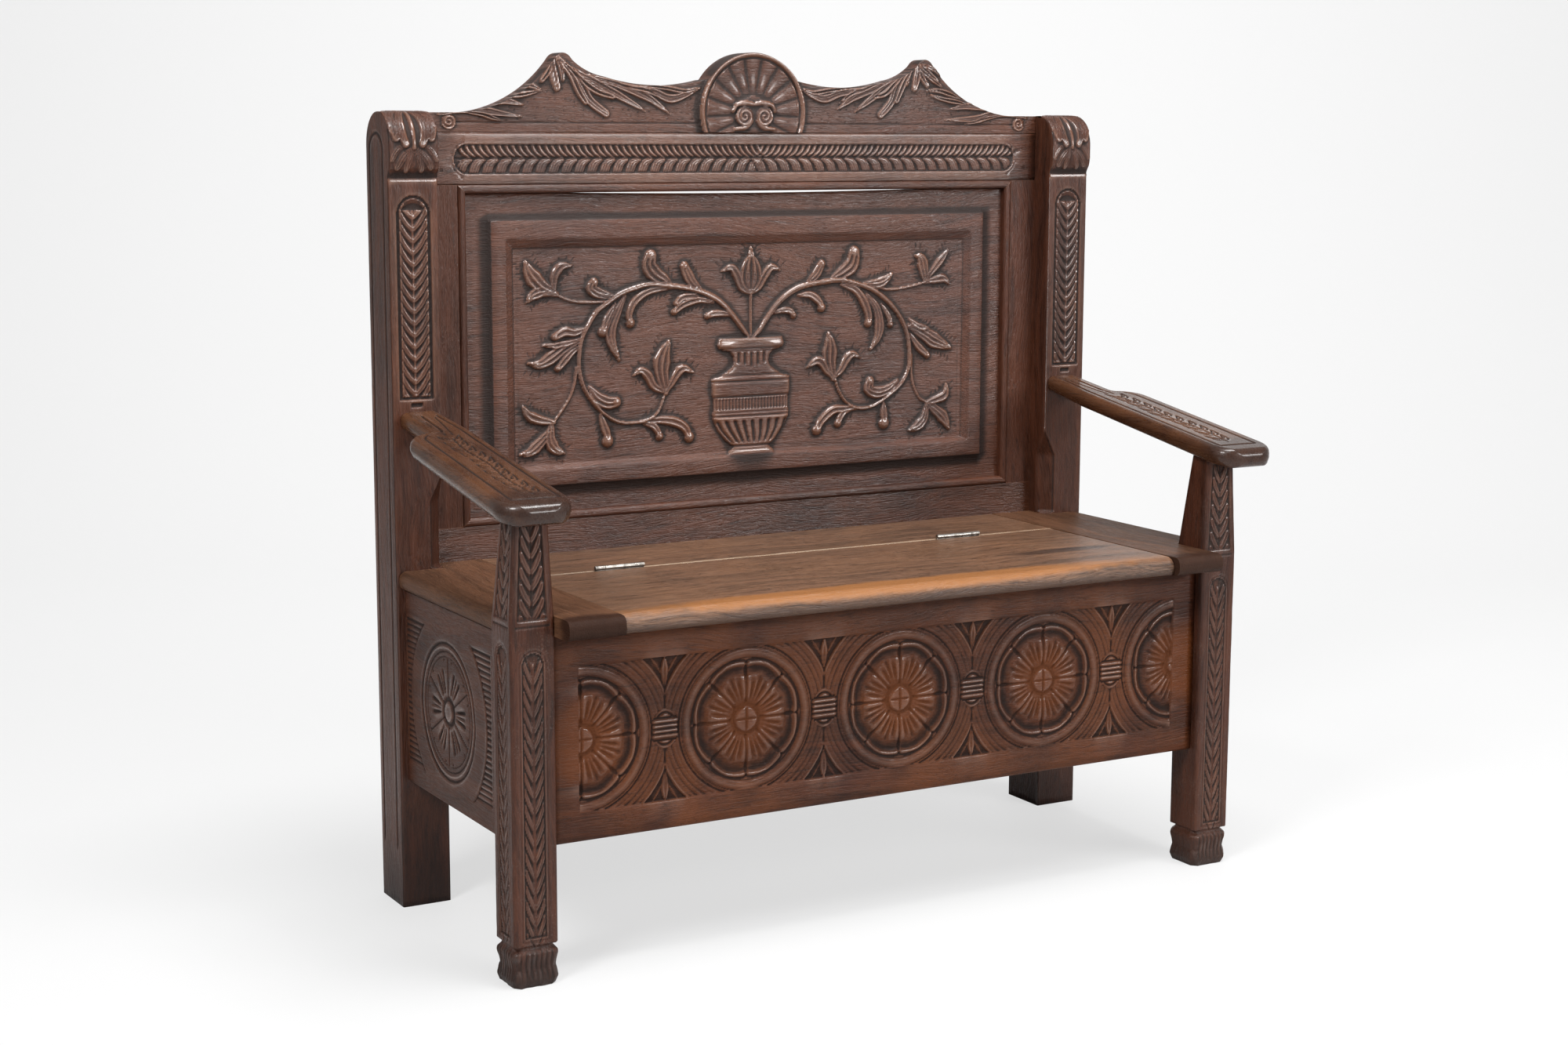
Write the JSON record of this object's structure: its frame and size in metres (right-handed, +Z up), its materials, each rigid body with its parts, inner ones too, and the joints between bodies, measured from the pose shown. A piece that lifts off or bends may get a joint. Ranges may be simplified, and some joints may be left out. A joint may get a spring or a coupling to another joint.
{
  "type": "settle bench",
  "caption": "Carved wooden settle bench with a panelled back, sloping arms and a chest under its hinged seat lid.",
  "frame": {"origin": "on the floor, in the middle of the bench's width and depth", "axes": "+X to the right of somebody who faces the bench, -Y towards them, +Z up"},
  "size_m": [1.214, 0.527, 1.195],
  "materials": {
    "carved_walnut": "dark waxed and polished",
    "seat_board": "worn wax over open grain",
    "plain_board": "unpolished",
    "hinge_steel": "worn bright"
  },
  "bodies": {
    "bench": {"back_bottom_rail": "carved_walnut", "back_panel": "carved_walnut", "back_top_rail": "carved_walnut", "bottom_panel_moulding": "carved_walnut", "chest_back_board": "plain_board", "chest_floor_board_1": "plain_board", "chest_floor_board_2": "plain_board", "chest_floor_board_3": "plain_board", "chest_floor_front_batten": "plain_board", "chest_floor_rear_batten": "plain_board", "crest_board": "carved_walnut", "crest_dowels": "carved_walnut", "frame_pegs": "carved_walnut", "front_board": "carved_walnut", "hinge_fixed_screws": "hinge_steel", "left_arm": "carved_walnut", "left_back_stile": "carved_walnut", "left_front_leg": "carved_walnut", "left_hinge_fixed_leaf": "hinge_steel", "left_hinge_pin": "hinge_steel", "left_panel_moulding": "carved_walnut", "left_rear_post": "carved_walnut", "left_seat_end_board": "seat_board", "left_side_panel": "carved_walnut", "right_arm": "carved_walnut", "right_back_stile": "carved_walnut", "right_front_leg": "carved_walnut", "right_hinge_fixed_leaf": "hinge_steel", "right_hinge_pin": "hinge_steel", "right_panel_moulding": "carved_walnut", "right_rear_post": "carved_walnut", "right_seat_end_board": "seat_board", "right_side_panel": "carved_walnut", "seat_rear_board": "seat_board", "seat_rear_cleat": "plain_board", "top_panel_moulding": "carved_walnut"},
    "lid": {"seat_lid": "seat_board", "left_lid_batten": "plain_board", "right_lid_batten": "plain_board", "left_hinge_lid_leaf": "hinge_steel", "right_hinge_lid_leaf": "hinge_steel", "hinge_lid_screws": "hinge_steel"}
  },
  "joints": [
    {"name": "lid_hinge", "type": "hinge", "parent": "bench", "child": "lid", "pos_m": [0, 0.0585, 0.4834], "axis": [-1, 0, 0], "range_deg": [0, 124]}
  ]
}
